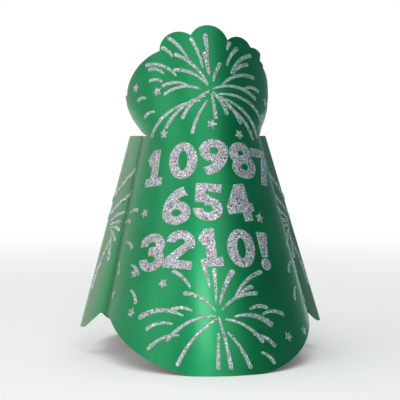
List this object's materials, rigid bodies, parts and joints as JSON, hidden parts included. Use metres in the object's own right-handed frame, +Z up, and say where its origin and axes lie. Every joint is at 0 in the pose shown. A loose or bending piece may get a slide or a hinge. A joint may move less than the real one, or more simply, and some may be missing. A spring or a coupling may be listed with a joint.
{
  "type": "cone party hat",
  "caption": "Foil-faced card cone hat, opened from flat, with a lobed crest on its front, an ear along each side crease and raised glitter fireworks, stars and plain numerals",
  "frame": {"origin": "On the table plane that the hem rests on, at the middle of the bounding box seen from above", "axes": "+Z up through the crest, the front faces -Y, and the two ears lie along X"},
  "size_m": [0.1826, 0.204, 0.2405],
  "materials": {
    "board": "bare brown-grey board",
    "glue": "dried white glue",
    "green_foil": "green metallised film",
    "silver_glitter": "coarse silver glitter in clear binder"
  },
  "bodies": {
    "root": {"front_board": "board", "back_left_board": "board", "back_right_board": "board", "seam_glue": "glue", "front_foil": "green_foil", "back_left_foil": "green_foil", "back_right_foil": "green_foil", "crown_burst_glitter": "silver_glitter", "hem_burst_glitter": "silver_glitter", "left_burst_front_glitter": "silver_glitter", "left_burst_back_glitter": "silver_glitter", "right_burst_front_glitter": "silver_glitter", "right_burst_back_glitter": "silver_glitter", "numerals_top_glitter": "silver_glitter", "numerals_middle_glitter": "silver_glitter", "numerals_bottom_glitter": "silver_glitter", "star_glitter": "silver_glitter"}
  },
  "joints": []
}
